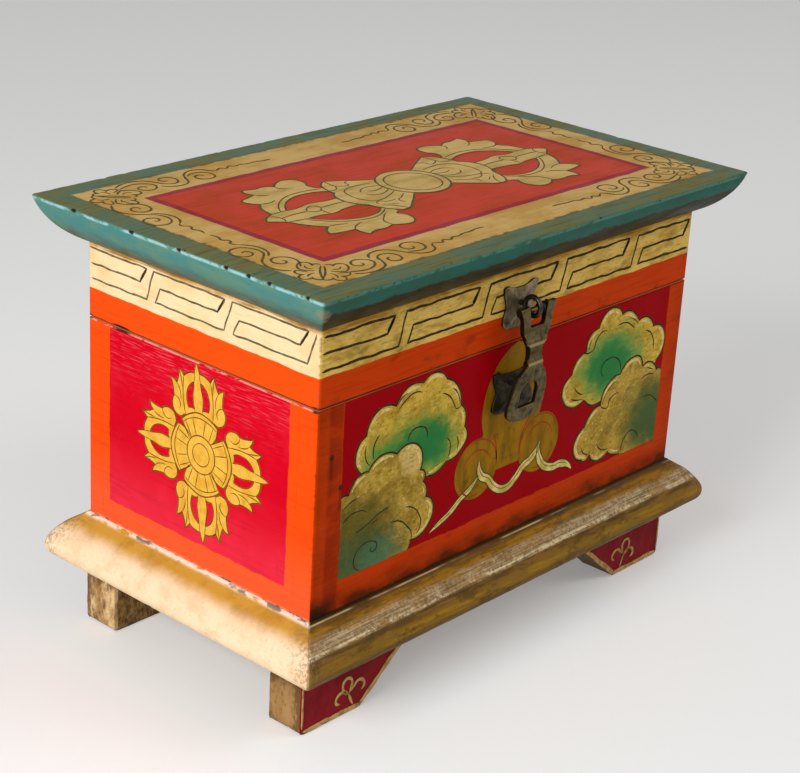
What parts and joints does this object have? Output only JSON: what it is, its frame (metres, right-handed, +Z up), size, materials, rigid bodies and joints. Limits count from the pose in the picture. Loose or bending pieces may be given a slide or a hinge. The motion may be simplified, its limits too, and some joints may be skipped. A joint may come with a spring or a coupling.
{
  "type": "painted wooden chest with hinged lid",
  "caption": "Small painted wooden chest: hinged overhanging lid, moulded plinth, bracket feet and a swinging link hasp that drops over a staple.",
  "frame": {"origin": "on the floor, under the middle of the chest", "axes": "+Z up, +X along the front to its right as seen from outside, -Y out of the front (the hasp side)"},
  "size_m": [0.25, 0.153, 0.1773],
  "materials": {
    "body_paint": "orange-red and crimson paint under satin varnish, worn at the edges",
    "lid_paint": "teal paint under satin varnish, chipped along the edges",
    "rail_paint": "cream and gold frieze with dark key lines over an orange band, varnished",
    "plinth_paint": "gold ochre fading to cream on the nose, rubbed and speckled",
    "foot_paint": "crimson with a gold outline, ochre end faces",
    "bare_wood": "plain planed softwood",
    "hinge_brass": "aged satin brass",
    "screw_brass": "aged satin brass",
    "hasp_bronze": "antique bronze, rubbed bright on the beads",
    "hasp_wire": "dark oxidised wire"
  },
  "bodies": {
    "chest": {"front_board": "body_paint", "back_board": "body_paint", "left_board": "body_paint", "right_board": "body_paint", "plinth_front": "plinth_paint", "plinth_back": "plinth_paint", "plinth_left": "plinth_paint", "plinth_right": "plinth_paint", "foot_front_left": "foot_paint", "foot_front_right": "foot_paint", "foot_back_left": "foot_paint", "foot_back_right": "foot_paint", "bottom_board": "bare_wood", "foot_dowels": "bare_wood", "hinge_body_leaf_left": "hinge_brass", "hinge_body_leaf_right": "hinge_brass", "hinge_pin_left": "hinge_brass", "hinge_pin_right": "hinge_brass", "body_hinge_screws": "screw_brass", "staple_plate": "hasp_bronze", "hasp_staple": "hasp_wire"},
    "lid": {"lid_slab": "lid_paint", "lid_rail_front": "rail_paint", "lid_rail_back": "rail_paint", "lid_rail_left": "rail_paint", "lid_rail_right": "rail_paint", "hinge_lid_leaf_left": "hinge_brass", "hinge_lid_leaf_right": "hinge_brass", "lid_hinge_screws": "screw_brass", "ring_plate": "hasp_bronze", "hasp_ring": "hasp_wire"},
    "hasp": {"hasp_link": "hasp_bronze"}
  },
  "joints": [
    {"name": "lid_hinge", "type": "hinge", "parent": "chest", "child": "lid", "pos_m": [0, 0.06385, 0.12975], "axis": [-1, 0, 0], "range_deg": [0, 160]},
    {"name": "hasp_swing", "type": "hinge", "parent": "lid", "child": "hasp", "pos_m": [-0.003, -0.0685, 0.1442], "axis": [-1, 0, 0], "range_deg": [-5, 110]}
  ]
}
